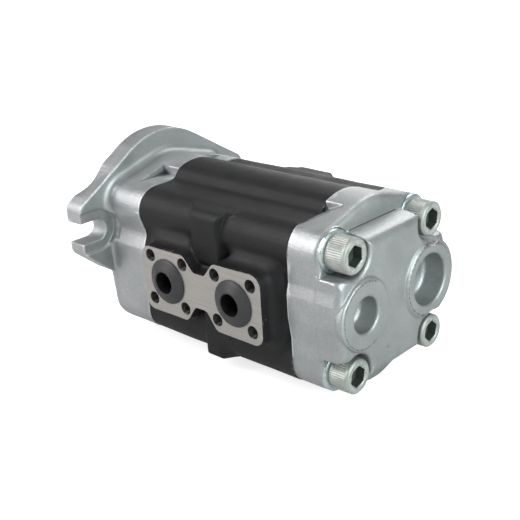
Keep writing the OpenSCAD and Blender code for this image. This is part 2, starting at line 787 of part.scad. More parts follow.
module rear_driven_gear() color([0.62, 0.63, 0.65]) {
    gear_body(rear_port_x - rear_gear_w / 2, rear_gear_w, driven_z, 90 + 180 / gear_teeth);
    rod_x(rear_wall_x + 0.5, rear_joint_x - rear_wall_x - 1, journal_r, 0, driven_z);
}

// Bearing blocks: x and length along the shaft, back is the side of the seal, 0 or 1

module block_seal_path(x, length, gap) {
    r = journal_r + bush_wall + 2.2;
    section_x(x, length) for (s = [-1, 1])
        polygon(concat(
            arc([0, s * pitch_r], r + block_seal_w - gap, s * 90 - 140, s * 90 + 140, 30),
            arc([0, s * pitch_r], r + gap, s * 90 + 140, s * 90 - 140, 30)));
}

module block(x, length, back) {
    seal_x = back == 0 ? x - cut : x + length - block_seal_depth;
    relief_x = back == 0 ? x + length - 1 : x - cut;
    color([0.66, 0.62, 0.50]) difference() {
        union() for (z = [drive_z, driven_z]) rod_x(x, length, chamber_r - 0.04, 0, z);
        for (z = [drive_z, driven_z]) rod_x(x - cut, length + 2 * cut, bush_r, 0, z);
        block_seal_path(seal_x, block_seal_depth + cut, 0);
        // Relief pockets beside the mesh, on the gear side
        for (s = [-1, 1]) translate([relief_x, s * 7.5 - 2.5, mid_z - 3]) cube([1 + cut, 5, 6]);
    }
}

module block_seal(x, length, back) {
    color([0.12, 0.12, 0.12])
        block_seal_path(back == 0 ? x : x + length - block_seal_depth, block_seal_depth, 0.05);
}

module bush(x, length, z) {
    color([0.72, 0.52, 0.30]) difference() {
        rod_x(x, length, bush_r, 0, z);
        rod_x(x - cut, length + 2 * cut, journal_r + run_gap, 0, z);
    }
}

// Start and length of each block
front_outer = [front_joint_x + face_gap, front_port_x - front_gear_w / 2 - front_joint_x - 2 * face_gap];
front_inner = [front_port_x + front_gear_w / 2 + face_gap,
    front_wall_x - front_port_x - front_gear_w / 2 - 2 * face_gap];
rear_inner = [rear_wall_x + face_gap, rear_port_x - rear_gear_w / 2 - rear_wall_x - 2 * face_gap];
rear_outer = [rear_port_x + rear_gear_w / 2 + face_gap,
    rear_joint_x - rear_port_x - rear_gear_w / 2 - 2 * face_gap];

module front_outer_block() block(front_outer[0], front_outer[1], 0);
module front_inner_block() block(front_inner[0], front_inner[1], 1);
module rear_inner_block() block(rear_inner[0], rear_inner[1], 0);
module rear_outer_block() block(rear_outer[0], rear_outer[1], 1);
module front_outer_block_seal() block_seal(front_outer[0], front_outer[1], 0);
module front_inner_block_seal() block_seal(front_inner[0], front_inner[1], 1);
module rear_inner_block_seal() block_seal(rear_inner[0], rear_inner[1], 0);
module rear_outer_block_seal() block_seal(rear_outer[0], rear_outer[1], 1);
module front_outer_drive_bush() bush(front_outer[0], front_outer[1], drive_z);
module front_outer_driven_bush() bush(front_outer[0], front_outer[1], driven_z);
module front_inner_drive_bush() bush(front_inner[0], front_inner[1], drive_z);
module front_inner_driven_bush() bush(front_inner[0], front_inner[1], driven_z);
module rear_inner_drive_bush() bush(rear_inner[0], rear_inner[1], drive_z);
module rear_inner_driven_bush() bush(rear_inner[0], rear_inner[1], driven_z);
module rear_outer_drive_bush() bush(rear_outer[0], rear_outer[1], drive_z);
module rear_outer_driven_bush() bush(rear_outer[0], rear_outer[1], driven_z);

// Shaft seal and snap ring

module shaft_seal() color([0.30, 0.16, 0.10])
    translate([0, 0, drive_z]) rotate([90, 0, 90]) rotate_extrude()
        polygon([[journal_r + 0.8, 0.1], [seal_r, 0.1], [seal_r, seal_t], [seal_r - 1.8, seal_t],
            [seal_r - 1.8, 2.6], [journal_r + 4, 2.6], [journal_r + 2.6, seal_t - 1.5],
            [journal_r + 1, seal_t - 1], [journal_r + run_gap, 5], [journal_r + 1, 3]]);

module seal_snap_ring() color([0.35, 0.35, 0.36]) difference() {
    rod_x(-ring_t - 0.05, ring_t - 0.05, seal_r + 1.3, 0, 0);
    rod_x(-ring_t - cut, ring_t + 2 * cut, seal_r - 2, 0, 0);
    translate([-ring_t - cut, -ring_gap / 2, -seal_r - 4]) cube([ring_t + 2 * cut, ring_gap, 8]);
}

// Transport plugs

module plug(d, bore_d, hole_d) {
    r = d / 2;
    fit_r = bore_d / 2 - 0.05;
    hole_r = hole_d / 2;
    floor_t = 1.5;
    rotate_extrude() polygon([[hole_r, plug_head_h], [hole_r + 1.4, plug_head_h], [r - 1.6, plug_head_h / 2],
        [r, plug_head_h / 4], [r, 0], [fit_r, 0], [fit_r, 1 - plug_depth], [fit_r - 0.8, -plug_depth],
        [0, -plug_depth], [0, floor_t - plug_depth], [hole_r, floor_t - plug_depth]]);
}

module delivery_plug(x) {
    color([0.24, 0.26, 0.27]) translate([x, -half_w - pad_h, mid_z]) rotate([90, 0, 0])
        plug(plug_head_d, delivery_d, delivery_d - 2 * delivery_plug_wall);
}

module front_delivery_plug() delivery_plug(front_port_x);

module rear_delivery_plug() delivery_plug(rear_port_x);

module suction_plug() color([0.24, 0.26, 0.27])
    translate([mid_x, half_w + pad_h, mid_z]) rotate([-90, 0, 0])
        plug(suction_d + 2 * suction_plug_rim, suction_d, suction_d - 2 * suction_plug_wall);

front_cover();
gear_housing();
rear_cover();
cover_screws();
screw_washers();
front_delivery_plug();
rear_delivery_plug();
suction_plug();
front_drive_gear();
shaft_key();
coupling_quill();
rear_drive_gear();
front_driven_gear();
rear_driven_gear();
front_outer_block();
front_inner_block();
rear_inner_block();
rear_outer_block();
front_outer_drive_bush();
front_outer_driven_bush();
front_inner_drive_bush();
front_inner_driven_bush();
rear_inner_drive_bush();
rear_inner_driven_bush();
rear_outer_drive_bush();
rear_outer_driven_bush();
front_outer_block_seal();
front_inner_block_seal();
rear_inner_block_seal();
rear_outer_block_seal();
front_joint_seal();
rear_joint_seal();
front_dowels();
rear_dowels();
shaft_seal();
seal_snap_ring();
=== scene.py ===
import json
import math

import bmesh
import bpy
from mathutils import Matrix, Vector, noise


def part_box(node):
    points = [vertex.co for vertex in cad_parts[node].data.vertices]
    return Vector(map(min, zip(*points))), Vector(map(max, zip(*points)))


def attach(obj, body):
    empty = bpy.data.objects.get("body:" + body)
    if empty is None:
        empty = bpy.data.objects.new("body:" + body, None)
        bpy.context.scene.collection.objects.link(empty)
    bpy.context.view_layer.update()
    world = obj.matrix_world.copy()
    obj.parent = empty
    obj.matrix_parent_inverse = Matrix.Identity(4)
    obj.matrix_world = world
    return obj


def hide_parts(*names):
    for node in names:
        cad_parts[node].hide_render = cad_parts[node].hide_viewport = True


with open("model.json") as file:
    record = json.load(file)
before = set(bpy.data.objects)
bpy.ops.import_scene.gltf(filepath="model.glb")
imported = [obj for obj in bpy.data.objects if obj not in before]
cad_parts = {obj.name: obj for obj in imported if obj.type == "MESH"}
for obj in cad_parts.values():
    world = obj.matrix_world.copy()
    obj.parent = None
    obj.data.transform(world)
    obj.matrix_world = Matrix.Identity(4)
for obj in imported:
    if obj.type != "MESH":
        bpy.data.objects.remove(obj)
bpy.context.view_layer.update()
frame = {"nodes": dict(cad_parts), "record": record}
scene = bpy.context.scene

# Lengths below are in millimetres; a finished mesh is scaled to metres
MM = 0.001


def span(node):
    """Lowest and highest corners of a CAD node, in millimetres."""
    low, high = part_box(node)
    return Vector(low) / MM, Vector(high) / MM


case_low, case_high = span("gear_housing")
front_low, front_high = span("front_cover")
rear_low, rear_high = span("rear_cover")
screw_low, screw_high = span("cover_screws")
washer_low, washer_high = span("screw_washers")
front_plug_low, front_plug_high = span("front_delivery_plug")
rear_plug_low, rear_plug_high = span("rear_delivery_plug")
floor_z = min(case_low.z, front_low.z, rear_low.z)

# Stations and centres of the pump
front_joint = case_low.x
rear_joint = case_high.x
pad_y = case_low.y
suction_y = case_high.y
boss_face = rear_high.x
head_r = 9.0
screw_ys = (screw_low.y + head_r, screw_high.y - head_r)
screw_zs = (screw_low.z + head_r, screw_high.z - head_r)
mid_z = (screw_zs[0] + screw_zs[1]) / 2
front_port_x = (front_plug_low.x + front_plug_high.x) / 2
rear_port_x = (rear_plug_low.x + rear_plug_high.x) / 2
mid_x = (front_port_x + rear_port_x) / 2

# Inside of the casing
gear_zs = (0.0, 2 * mid_z)
chamber_r = 20.0
wall_half = 3.0
front_wall = mid_x - wall_half
rear_wall = mid_x + wall_half
quill_hole_r = 7.5
relief_r = 8.0
relief_depth = 3.0
groove_inner = 22.2
groove_outer = 24.6
groove_depth = 1.8
shank_r = 6.0
screw_hole_r = 6.6
dowel_r = 3.0
dowel_depth = 7.5
dowel_y = 36.5
dowel_z = 9.0

# Pilot, seal and shaft bores
spigot_r = 41.275
spigot_h = -front_low.x
seal_r = 17.5
seal_depth = 8.0
ring_groove_r = 19.0
shaft_bore_r = 12.5
driven_bore_r = 11.5
driven_bore_depth = 4.0

# Ports and their tapped holes
port_xs = (front_port_x, rear_port_x)
delivery_r = 8.0
delivery_half = 24.75 / 2
delivery_tap_r = 3.0
delivery_tap_depth = 12.0
port_end_y = 8.0
suction_r = 13.5
suction_half = 38.9 / 2
suction_tap_r = 4.0
suction_tap_depth = 14.0
gallery_y = 27.0
gallery_r = 8.0
branch_r = 7.0
branch_length = 22.0
plug_length = 12.0

# How far a cutter runs past the face it opens, and filling past a hole's wall
over = 1.0

# Camera at the photograph's viewing angle
view_turn = math.radians(44.424)
view_rise = math.radians(21.626)
view_roll = math.radians(-3.612)
photo_size = 520
focal_px = 945.22
camera_place = Vector((428.5, -349.5, 175.2)) * MM


def make_camera():
    back = Vector((
        math.sin(view_turn) * math.cos(view_rise),
        -math.cos(view_turn) * math.cos(view_rise),
        math.sin(view_rise)))
    level = Vector((0, 0, 1)).cross(back).normalized()
    upward = back.cross(level)
    right = math.cos(view_roll) * level + math.sin(view_roll) * upward
    up = -math.sin(view_roll) * level + math.cos(view_roll) * upward
    data = bpy.data.cameras.new("photo_camera")
    data.sensor_width = 36
    data.lens = focal_px / photo_size * data.sensor_width
    data.clip_start = 0.01
    camera = bpy.data.objects.new("photo_camera", data)
    turn = Matrix((right, up, back)).transposed().to_4x4()
    camera.matrix_world = Matrix.Translation(camera_place) @ turn
    scene.collection.objects.link(camera)
    scene.camera = camera


make_camera()


# Node building

def link(tree, source, target):
    tree.links.new(source, target)


def add(tree, kind, **settings):
    made = tree.nodes.new(kind)
    for name, value in settings.items():
        setattr(made, name, value)
    return made


def new_group(name, inputs, outputs):
    """A shader node group with float inputs given as (name, default) and float outputs."""
    tree = bpy.data.node_groups.new(name, "ShaderNodeTree")
    tree.interface.new_socket("Vector", in_out="INPUT", socket_type="NodeSocketVector")
    for label, value in inputs:
        socket = tree.interface.new_socket(label, in_out="INPUT", socket_type="NodeSocketFloat")
        socket.default_value = value
    for label in outputs:
        tree.interface.new_socket(label, in_out="OUTPUT", socket_type="NodeSocketFloat")
    return tree, tree.nodes.new("NodeGroupInput"), tree.nodes.new("NodeGroupOutput")


def math_node(tree, operation, first, second=None, clamp=False):
    made = add(tree, "ShaderNodeMath", operation=operation, use_clamp=clamp)
    for index, value in enumerate((first, second)):
        if value is None:
            continue
        if isinstance(value, (int, float)):
            made.inputs[index].default_value = value
        else:
            link(tree, value, made.inputs[index])
    return made.outputs[0]


def noise_node(tree, vector, scale, detail=2.0, rough=0.5):
    made = add(tree, "ShaderNodeTexNoise")
    made.inputs["Detail"].default_value = detail
    made.inputs["Roughness"].default_value = rough
    link(tree, vector, made.inputs["Vector"])
    if isinstance(scale, (int, float)):
        made.inputs["Scale"].default_value = scale
    else:
        link(tree, scale, made.inputs["Scale"])
    return made.outputs["Fac"]


def ramp_node(tree, value, low, high, out_low=0.0, out_high=1.0):
    made = add(tree, "ShaderNodeMapRange")
    made.inputs["From Min"].default_value = low
    made.inputs["From Max"].default_value = high
    made.inputs["To Min"].default_value = out_low
    made.inputs["To Max"].default_value = out_high
    link(tree, value, made.inputs["Value"])
    return made.outputs["Result"]


def make_cast_skin():
    """Height and tone of a cast skin: fine grain, pits and slow cloudy changes."""
    tree, given, put = new_group("cast_skin", [("Grain Scale", 900.0), ("Cloud Scale", 60.0)],
                                 ["Height", "Tone", "Grain"])
    vector = given.outputs["Vector"]
    grain = noise_node(tree, vector, given.outputs["Grain Scale"], 3.0, 0.6)
    cloud = noise_node(tree, vector, given.outputs["Cloud Scale"], 4.0, 0.6)
    pits = add(tree, "ShaderNodeTexVoronoi", feature="F1")
    link(tree, vector, pits.inputs["Vector"])
    link(tree, given.outputs["Grain Scale"], pits.inputs["Scale"])
    pit = ramp_node(tree, pits.outputs["Distance"], 0.0, 0.35)
    height = math_node(tree, "ADD", grain, math_node(tree, "MULTIPLY", pit, 0.35))
    link(tree, height, put.inputs["Height"])
    link(tree, cloud, put.inputs["Tone"])
    link(tree, grain, put.inputs["Grain"])
    return tree


def make_specks():
    """A mask of small scattered dots: Share is how many cells hold one, Size its radius in the cell."""
    tree, given, put = new_group("specks", [("Scale", 300.0), ("Share", 0.05), ("Size", 0.2)], ["Mask"])
    cells = add(tree, "ShaderNodeTexVoronoi", feature="F1")
    link(tree, given.outputs["Vector"], cells.inputs["Vector"])
    link(tree, given.outputs["Scale"], cells.inputs["Scale"])
    pick = add(tree, "ShaderNodeSeparateColor")
    link(tree, cells.outputs["Color"], pick.inputs["Color"])
    chosen = math_node(tree, "LESS_THAN", pick.outputs["Red"], given.outputs["Share"])
    inside = math_node(tree, "LESS_THAN", cells.outputs["Distance"], given.outputs["Size"])
    link(tree, math_node(tree, "MULTIPLY", chosen, inside), put.inputs["Mask"])
    return tree


def make_edge_wear_and_light():
    """Masks of outer edges, as rubbed wear and painted highlight broken up by noise, and of painted shade
    in inner corners.
    """
    tree, given, put = new_group("edge_wear_and_light", [("Reach", 0.03), ("Breakup", 250.0)], ["Rubbed", "Corner Shade"])
    shape = add(tree, "ShaderNodeNewGeometry")
    bend = math_node(tree, "SUBTRACT", shape.outputs["Pointiness"], 0.5)
    share = math_node(tree, "DIVIDE", bend, given.outputs["Reach"])
    rough = noise_node(tree, given.outputs["Vector"], given.outputs["Breakup"], 3.0, 0.6)
    broken = ramp_node(tree, rough, 0.35, 0.6)
    # Outer edges: rubbed wear and painted highlight
    outer = math_node(tree, "SUBTRACT", share, 0.35, clamp=True)
    link(tree, math_node(tree, "MULTIPLY", outer, broken, clamp=True), put.inputs["Rubbed"])
    # Inner corners: painted shade, growing with the hollow
    inner = math_node(tree, "SUBTRACT", math_node(tree, "MULTIPLY", share, -1.0), 0.3, clamp=True)
    link(tree, inner, put.inputs["Corner Shade"])
    return tree


def make_ring_shade_line():
    """A broken line of painted shade on a circle about an axis along X, beyond Start; Side cuts it short
    towards +Y.
    """
    inputs = [("Centre Y", 0.0), ("Centre Z", 0.0), ("Radius", 0.02), ("Width", 0.0004), ("Side", 1.0),
              ("Start", 0.0)]
    tree, given, put = new_group("ring_shade_line", inputs, ["Mask"])
    place = add(tree, "ShaderNodeSeparateXYZ")
    link(tree, given.outputs["Vector"], place.inputs["Vector"])
    across = math_node(tree, "SUBTRACT", place.outputs["Y"], given.outputs["Centre Y"])
    upward = math_node(tree, "SUBTRACT", place.outputs["Z"], given.outputs["Centre Z"])
    across_square = math_node(tree, "MULTIPLY", across, across)
    upward_square = math_node(tree, "MULTIPLY", upward, upward)
    distance = math_node(tree, "SQRT", math_node(tree, "ADD", across_square, upward_square))
    off = math_node(tree, "ABSOLUTE", math_node(tree, "SUBTRACT", distance, given.outputs["Radius"]))
    share = math_node(tree, "DIVIDE", off, given.outputs["Width"])
    line = math_node(tree, "SUBTRACT", 1.0, share, clamp=True)
    broken = ramp_node(tree, noise_node(tree, given.outputs["Vector"], 700.0, 3.0, 0.7), 0.42, 0.56)
    sideways = math_node(tree, "MULTIPLY", across, given.outputs["Side"])
    half = math_node(tree, "LESS_THAN", sideways, 0.008)
    beyond = math_node(tree, "GREATER_THAN", place.outputs["X"], given.outputs["Start"])
    region = math_node(tree, "MULTIPLY", half, beyond)
    shown = math_node(tree, "MULTIPLY", line, broken)
    link(tree, math_node(tree, "MULTIPLY", shown, region), put.inputs["Mask"])
    return tree


cast_skin = make_cast_skin()
specks = make_specks()
edge_wear_and_light = make_edge_wear_and_light()
ring_shade_line = make_ring_shade_line()


class Finish:
    """A material under construction: one Principled shader fed by object coordinates."""

    def __init__(self, name, rough, metal=0.0):
        self.material = bpy.data.materials.new(name)
        self.material.use_nodes = True
        self.tree = self.material.node_tree
        self.shader = self.tree.nodes["Principled BSDF"]
        self.shader.inputs["Roughness"].default_value = rough
        self.shader.inputs["Metallic"].default_value = metal
        self.place = add(self.tree, "ShaderNodeTexCoord").outputs["Object"]

    def group(self, tree, **values):
        made = add(self.tree, "ShaderNodeGroup", node_tree=tree)
        link(self.tree, self.place, made.inputs["Vector"])
        for label, value in values.items():
            made.inputs[label.replace("_", " ")].default_value = value
        return made

    def color(self, value, low, high):
        """Base colour that runs from low to high with the value."""
        made = add(self.tree, "ShaderNodeMix", data_type="RGBA")
        link(self.tree, value, made.inputs["Factor"])
        made.inputs["A"].default_value = (*low, 1)
        made.inputs["B"].default_value = (*high, 1)
        return made.outputs["Result"]

    def over(self, base, mask, tint):
        """The base colour with a tint laid over it where the mask is."""
        made = add(self.tree, "ShaderNodeMix", data_type="RGBA")
        link(self.tree, mask, made.inputs["Factor"])
        link(self.tree, base, made.inputs["A"])
        made.inputs["B"].default_value = (*tint, 1)
        return made.outputs["Result"]

    def over_part(self, base, mask, share, tint):
        """The base colour with a tint laid over it by a share of the mask."""
        return self.over(base, math_node(self.tree, "MULTIPLY", mask, share, clamp=True), tint)

    def bump(self, height, strength, distance):
        made = add(self.tree, "ShaderNodeBump")
        made.inputs["Strength"].default_value = strength
        made.inputs["Distance"].default_value = distance
        link(self.tree, height, made.inputs["Height"])
        link(self.tree, made.outputs["Normal"], self.shader.inputs["Normal"])

    def base(self, socket):
        link(self.tree, socket, self.shader.inputs["Base Color"])

    def rough(self, value, low, high, out_low, out_high):
        link(self.tree, ramp_node(self.tree, value, low, high, out_low, out_high),
             self.shader.inputs["Roughness"])


def cast_aluminium(name, joint, shade_rings=()):
    """Shot-blasted casting with a painted highlight along the arris at the joint's x.

    shade_rings are (centre y, radius, width, side) of painted shade lines round the bosses."""
    f = Finish(name, 0.45, 0.8)
    skin = f.group(cast_skin, Grain_Scale=1100.0, Cloud_Scale=60.0)
    tone = ramp_node(f.tree, skin.outputs["Tone"], 0.35, 0.65)
    base = f.color(tone, (0.40, 0.415, 0.42), (0.49, 0.50, 0.505))
    grain = ramp_node(f.tree, skin.outputs["Grain"], 0.4, 0.65, 0.0, 0.45)
    base = f.over(base, grain, (0.33, 0.345, 0.35))
    wear_and_light = f.group(edge_wear_and_light, Reach=0.045, Breakup=180.0)
    # Rubbed wear and painted highlight on the outer edges
    base = f.over_part(base, wear_and_light.outputs["Rubbed"], 0.7, (0.80, 0.82, 0.82))
    # Painted shade in the inner corners
    base = f.over_part(base, wear_and_light.outputs["Corner Shade"], 0.8, (0.11, 0.125, 0.13))
    dots = f.group(specks, Scale=520.0, Share=0.03, Size=0.25)
    base = f.over_part(base, dots.outputs["Mask"], 0.4, (0.72, 0.74, 0.74))
    for centre_y, radius, width, side in shade_rings:
        line = f.group(ring_shade_line, Centre_Y=centre_y * MM, Centre_Z=mid_z * MM, Radius=radius * MM,
                       Width=width * MM, Side=side, Start=(boss_face - 2.5) * MM)
        # Painted shade in the crease round the boss
        base = f.over_part(base, line.outputs["Mask"], 0.85, (0.05, 0.055, 0.06))
    # Painted highlight: a thin bright line along the edge at the joint's x
    place = add(f.tree, "ShaderNodeSeparateXYZ")
    link(f.tree, f.place, place.inputs["Vector"])
    off = math_node(f.tree, "ABSOLUTE", math_node(f.tree, "SUBTRACT", place.outputs["X"], joint * MM))
    joint_highlight = ramp_node(f.tree, off, 0.0002, 0.0006, 0.75, 0.0)
    f.base(f.over(base, joint_highlight, (0.82, 0.84, 0.84)))
    f.rough(skin.outputs["Tone"], 0.3, 0.7, 0.38, 0.5)
    f.bump(skin.outputs["Height"], 0.5, 0.0003)
    return f.material


def black_coating():
    f = Finish("black_coating", 0.45)
    f.shader.inputs["Specular IOR Level"].default_value = 0.3
    skin = f.group(cast_skin, Grain_Scale=1300.0, Cloud_Scale=70.0)
    tone = ramp_node(f.tree, skin.outputs["Tone"], 0.3, 0.7)
    base = f.color(tone, (0.0072, 0.0072, 0.0082), (0.0135, 0.0135, 0.0145))
    wear_and_light = f.group(edge_wear_and_light, Reach=0.05, Breakup=420.0)
    rubbed = ramp_node(f.tree, wear_and_light.outputs["Rubbed"], 0.45, 0.75, 0.0, 0.7)
    base = f.over(base, rubbed, (0.13, 0.135, 0.125))
    # Painted shade: darker base colour in the inner corners
    corners = ramp_node(f.tree, wear_and_light.outputs["Corner Shade"], 0.0, 0.6, 0.0, 0.7)
    base = f.over(base, corners, (0.003, 0.003, 0.0035))
    dots = f.group(specks, Scale=190.0, Share=0.012, Size=0.10)
    base = f.over(base, dots.outputs["Mask"], (0.33, 0.35, 0.34))
    fine = f.group(specks, Scale=700.0, Share=0.05, Size=0.25)
    base = f.over_part(base, fine.outputs["Mask"], 0.5, (0.05, 0.05, 0.05))
    f.base(base)
    f.rough(skin.outputs["Tone"], 0.3, 0.7, 0.44, 0.58)
    f.bump(skin.outputs["Height"], 0.5, 0.00025)
    return f.material


def machined_face():
    """Bare metal with milling marks that run along the pump."""
    f = Finish("machined_face", 0.42, 0.7)
    stretch = add(f.tree, "ShaderNodeMapping")
    stretch.inputs["Scale"].default_value = (18.0, 400.0, 900.0)
    link(f.tree, f.place, stretch.inputs["Vector"])
    lines = noise_node(f.tree, stretch.outputs["Vector"], 1.6, 4.0, 0.65)
    cloud = noise_node(f.tree, f.place, 90.0, 3.0)
    base = f.color(ramp_node(f.tree, lines, 0.3, 0.7), (0.36, 0.345, 0.32), (0.47, 0.45, 0.42))
    base = f.over(base, ramp_node(f.tree, cloud, 0.5, 0.8, 0.0, 0.3), (0.36, 0.33, 0.29))
    dots = f.group(specks, Scale=500.0, Share=0.03, Size=0.2)
    base = f.over_part(base, dots.outputs["Mask"], 0.6, (0.2, 0.19, 0.17))
    f.base(base)
    f.rough(lines, 0.3, 0.7, 0.34, 0.48)
    f.bump(lines, 0.15, 0.00006)
    return f.material


def zinc_screw():
    f = Finish("zinc_screw", 0.5, 0.6)
    skin = f.group(cast_skin, Grain_Scale=1500.0, Cloud_Scale=130.0)
    tone = ramp_node(f.tree, skin.outputs["Tone"], 0.35, 0.65)
    base = f.color(tone, (0.37, 0.39, 0.365), (0.52, 0.535, 0.505))
    mottle = ramp_node(f.tree, skin.outputs["Grain"], 0.4, 0.7, 0.0, 0.5)
    base = f.over(base, mottle, (0.27, 0.285, 0.265))
    wear_and_light = f.group(edge_wear_and_light, Reach=0.12, Breakup=500.0)
    # Rubbed wear and painted highlight on the knurl's ridges and edges
    base = f.over_part(base, wear_and_light.outputs["Rubbed"], 0.6, (0.72, 0.75, 0.72))
    # Painted shade in the knurl's grooves and inner corners
    base = f.over_part(base, wear_and_light.outputs["Corner Shade"], 0.7, (0.13, 0.135, 0.125))
    f.base(base)
    f.rough(skin.outputs["Tone"], 0.3, 0.7, 0.42, 0.56)
    f.bump(skin.outputs["Height"], 0.3, 0.00008)
    return f.material


def zinc_washer():
    f = Finish("zinc_washer", 0.28, 0.85)
    cloud = noise_node(f.tree, f.place, 240.0, 3.0)
    f.base(f.color(ramp_node(f.tree, cloud, 0.35, 0.65), (0.50, 0.57, 0.58), (0.66, 0.72, 0.73)))
    f.rough(cloud, 0.3, 0.7, 0.2, 0.34)
    f.bump(cloud, 0.1, 0.00008)
    return f.material


def plug_plastic():
    f = Finish("plug_plastic", 0.5)
    skin = f.group(cast_skin, Grain_Scale=1600.0, Cloud_Scale=90.0)
    tone = ramp_node(f.tree, skin.outputs["Tone"], 0.3, 0.7)
    base = f.color(tone, (0.026, 0.0265, 0.028), (0.036, 0.0365, 0.038))
    dots = f.group(specks, Scale=350.0, Share=0.01, Size=0.15)
    f.base(f.over_part(base, dots.outputs["Mask"], 0.5, (0.2, 0.2, 0.2)))
    f.rough(skin.outputs["Tone"], 0.3, 0.7, 0.45, 0.58)
    f.bump(skin.outputs["Height"], 0.12, 0.00006)
    return f.material


def metal(name, low, high, rough, metalness=0.9, scale=500.0):
    """A plain turned or machined metal with fine uneven tone."""
    f = Finish(name, rough, metalness)
    skin = f.group(cast_skin, Grain_Scale=scale * 2, Cloud_Scale=scale / 4)
    f.base(f.color(ramp_node(f.tree, skin.outputs["Tone"], 0.35, 0.65), low, high))
    f.rough(skin.outputs["Grain"], 0.3, 0.7, rough - 0.03, rough + 0.03)
    f.bump(skin.outputs["Height"], 0.04, 0.00002)
    return f.material


def rubber(name, low, high, shine=0.5):
    f = Finish(name, 0.6)
    f.shader.inputs["Specular IOR Level"].default_value = shine
    skin = f.group(cast_skin, Grain_Scale=1400.0, Cloud_Scale=120.0)
    f.base(f.color(ramp_node(f.tree, skin.outputs["Tone"], 0.3, 0.7), low, high))
    f.rough(skin.outputs["Grain"], 0.3, 0.7, 0.52, 0.68)
    f.bump(skin.outputs["Height"], 0.15, 0.00006)
    return f.material


# Painted shade lines in the creases round the rear cover's bosses as (centre y, radius, width, side)
boss_shade_lines = (
    (-26.0, 17.0, 0.6, 1.0),
    (27.3, 19.3, 0.65, -1.0),
    (27.3, 18.6, 0.5, 1.0))

finishes = {
    "cast_aluminium": cast_aluminium("cast_aluminium", front_joint),
    "ringed_casting": cast_aluminium("ringed_casting", rear_joint, boss_shade_lines),
    "black_housing": black_coating(),
    "machined_face": machined_face(),
    "zinc_screw": zinc_screw(),
    "zinc_washer": zinc_washer(),
    "plug_plastic": plug_plastic(),
    "ground_steel": metal("ground_steel", (0.50, 0.50, 0.51), (0.60, 0.60, 0.61), 0.26),
    # Near black: painted shade inside the tapped holes and port bores
    "tapped_thread_shade": metal("tapped_thread_shade", (0.03, 0.03, 0.027), (0.06, 0.058, 0.054), 0.42),
    # Dark: painted shade inside the screws' hex sockets
    "socket_painted_shade": metal("socket_painted_shade", (0.075, 0.09, 0.08), (0.12, 0.14, 0.125), 0.5, 0.5),
    # Near black: painted shade inside the plugs' blind holes
    "plug_hole_shade": rubber("plug_hole_shade", (0.003, 0.003, 0.003), (0.005, 0.005, 0.005), 0.1),
    "block_alloy": metal("block_alloy", (0.50, 0.48, 0.43), (0.58, 0.56, 0.50), 0.38),
    "bush_bronze": metal("bush_bronze", (0.50, 0.33, 0.15), (0.62, 0.42, 0.21), 0.4),
    "spring_steel": metal("spring_steel", (0.06, 0.06, 0.065), (0.11, 0.11, 0.12), 0.35),
    "machined_aluminium": metal("machined_aluminium", (0.52, 0.54, 0.55), (0.60, 0.62, 0.63), 0.32),
    "shaft_seal_rubber": rubber("shaft_seal_rubber", (0.10, 0.035, 0.018), (0.15, 0.055, 0.03)),
    "seal_rubber": rubber("seal_rubber", (0.018, 0.018, 0.018), (0.03, 0.03, 0.03)),
}


# Material slot that the record gives each node
record_slot = {part["node"]: part["material_slot"] for part in frame["record"]["subparts"]}

# Axes of a vector, and slots of the castings
X, Y = 0, 1
CAST, MACHINED, THREADED = 0, 1, 2


# Mesh building

def cad_copy(node):
    """A merged bmesh copy of a CAD node, in millimetres."""
    bm = bmesh.new()
    bm.from_mesh(frame["nodes"][node].data)
    bmesh.ops.scale(bm, vec=(1 / MM,) * 3, verts=bm.verts)
    bmesh.ops.remove_doubles(bm, verts=bm.verts, dist=0.002)
    return bm


def mesh_object(name, bm, slots=()):
    """A linked object that takes the bmesh over."""
    data = bpy.data.meshes.new(name)
    bm.to_mesh(data)
    bm.free()
    made = bpy.data.objects.new(name, data)
    for slot in slots:
        data.materials.append(finishes[slot])
    scene.collection.objects.link(made)
    return made


def baked(made):
    """The object's modifiers worked into a bmesh; the object itself is removed."""
    bpy.context.view_layer.update()
    graph = bpy.context.evaluated_depsgraph_get()
    bm = bmesh.new()
    shaped = made.evaluated_get(graph)
    data = shaped.to_mesh()
    bm.from_mesh(data)
    shaped.to_mesh_clear()
    old = made.data
    bpy.data.objects.remove(made)
    bpy.data.meshes.remove(old)
    return bm


def turned(profile, steps=64):
    """A shape spun about X from points given as (place along the axis, radius)."""
    bm = bmesh.new()
    points = [bm.verts.new((along, 0, radius)) for along, radius in profile]
    edges = [bm.edges.new(pair) for pair in zip(points, points[1:])]
    bmesh.ops.spin(bm, geom=points + edges, cent=(0, 0, 0), axis=(1, 0, 0), angle=math.tau, steps=steps,
                   use_merge=True)
    bmesh.ops.remove_doubles(bm, verts=bm.verts, dist=0.001)
    bmesh.ops.recalc_face_normals(bm, faces=bm.faces)
    return bm


AXES = {
    "+X": Matrix.Identity(4),
    "-Y": Matrix.Rotation(math.radians(-90), 4, "Z"),
    "+Y": Matrix.Rotation(math.radians(90), 4, "Z"),
}


def placed(bm, place, axis="+X"):
    """Moves a turned shape, whose axis is X, to a place and an axis."""
    bmesh.ops.transform(bm, matrix=Matrix.Translation(Vector(place)) @ AXES[axis], verts=bm.verts)
    return bm


def joined(parts):
    """One bmesh with all the parts; each part is freed."""
    whole = bmesh.new()
    for part in parts:
        data = bpy.data.meshes.new("part")
        part.to_mesh(data)
        part.free()
        whole.from_mesh(data)
        bpy.data.meshes.remove(data)
    return whole


def rod(place, length, radius, axis="+X", steps=48):
    return placed(turned([(0, 0), (0, radius), (length, radius), (length, 0)], steps), place, axis)


def bore(start, end, radius, y=0.0, z=0.0, steps=48):
    """A rod along X between two stations."""
    return rod((start, y, z), end - start, radius, steps=steps)


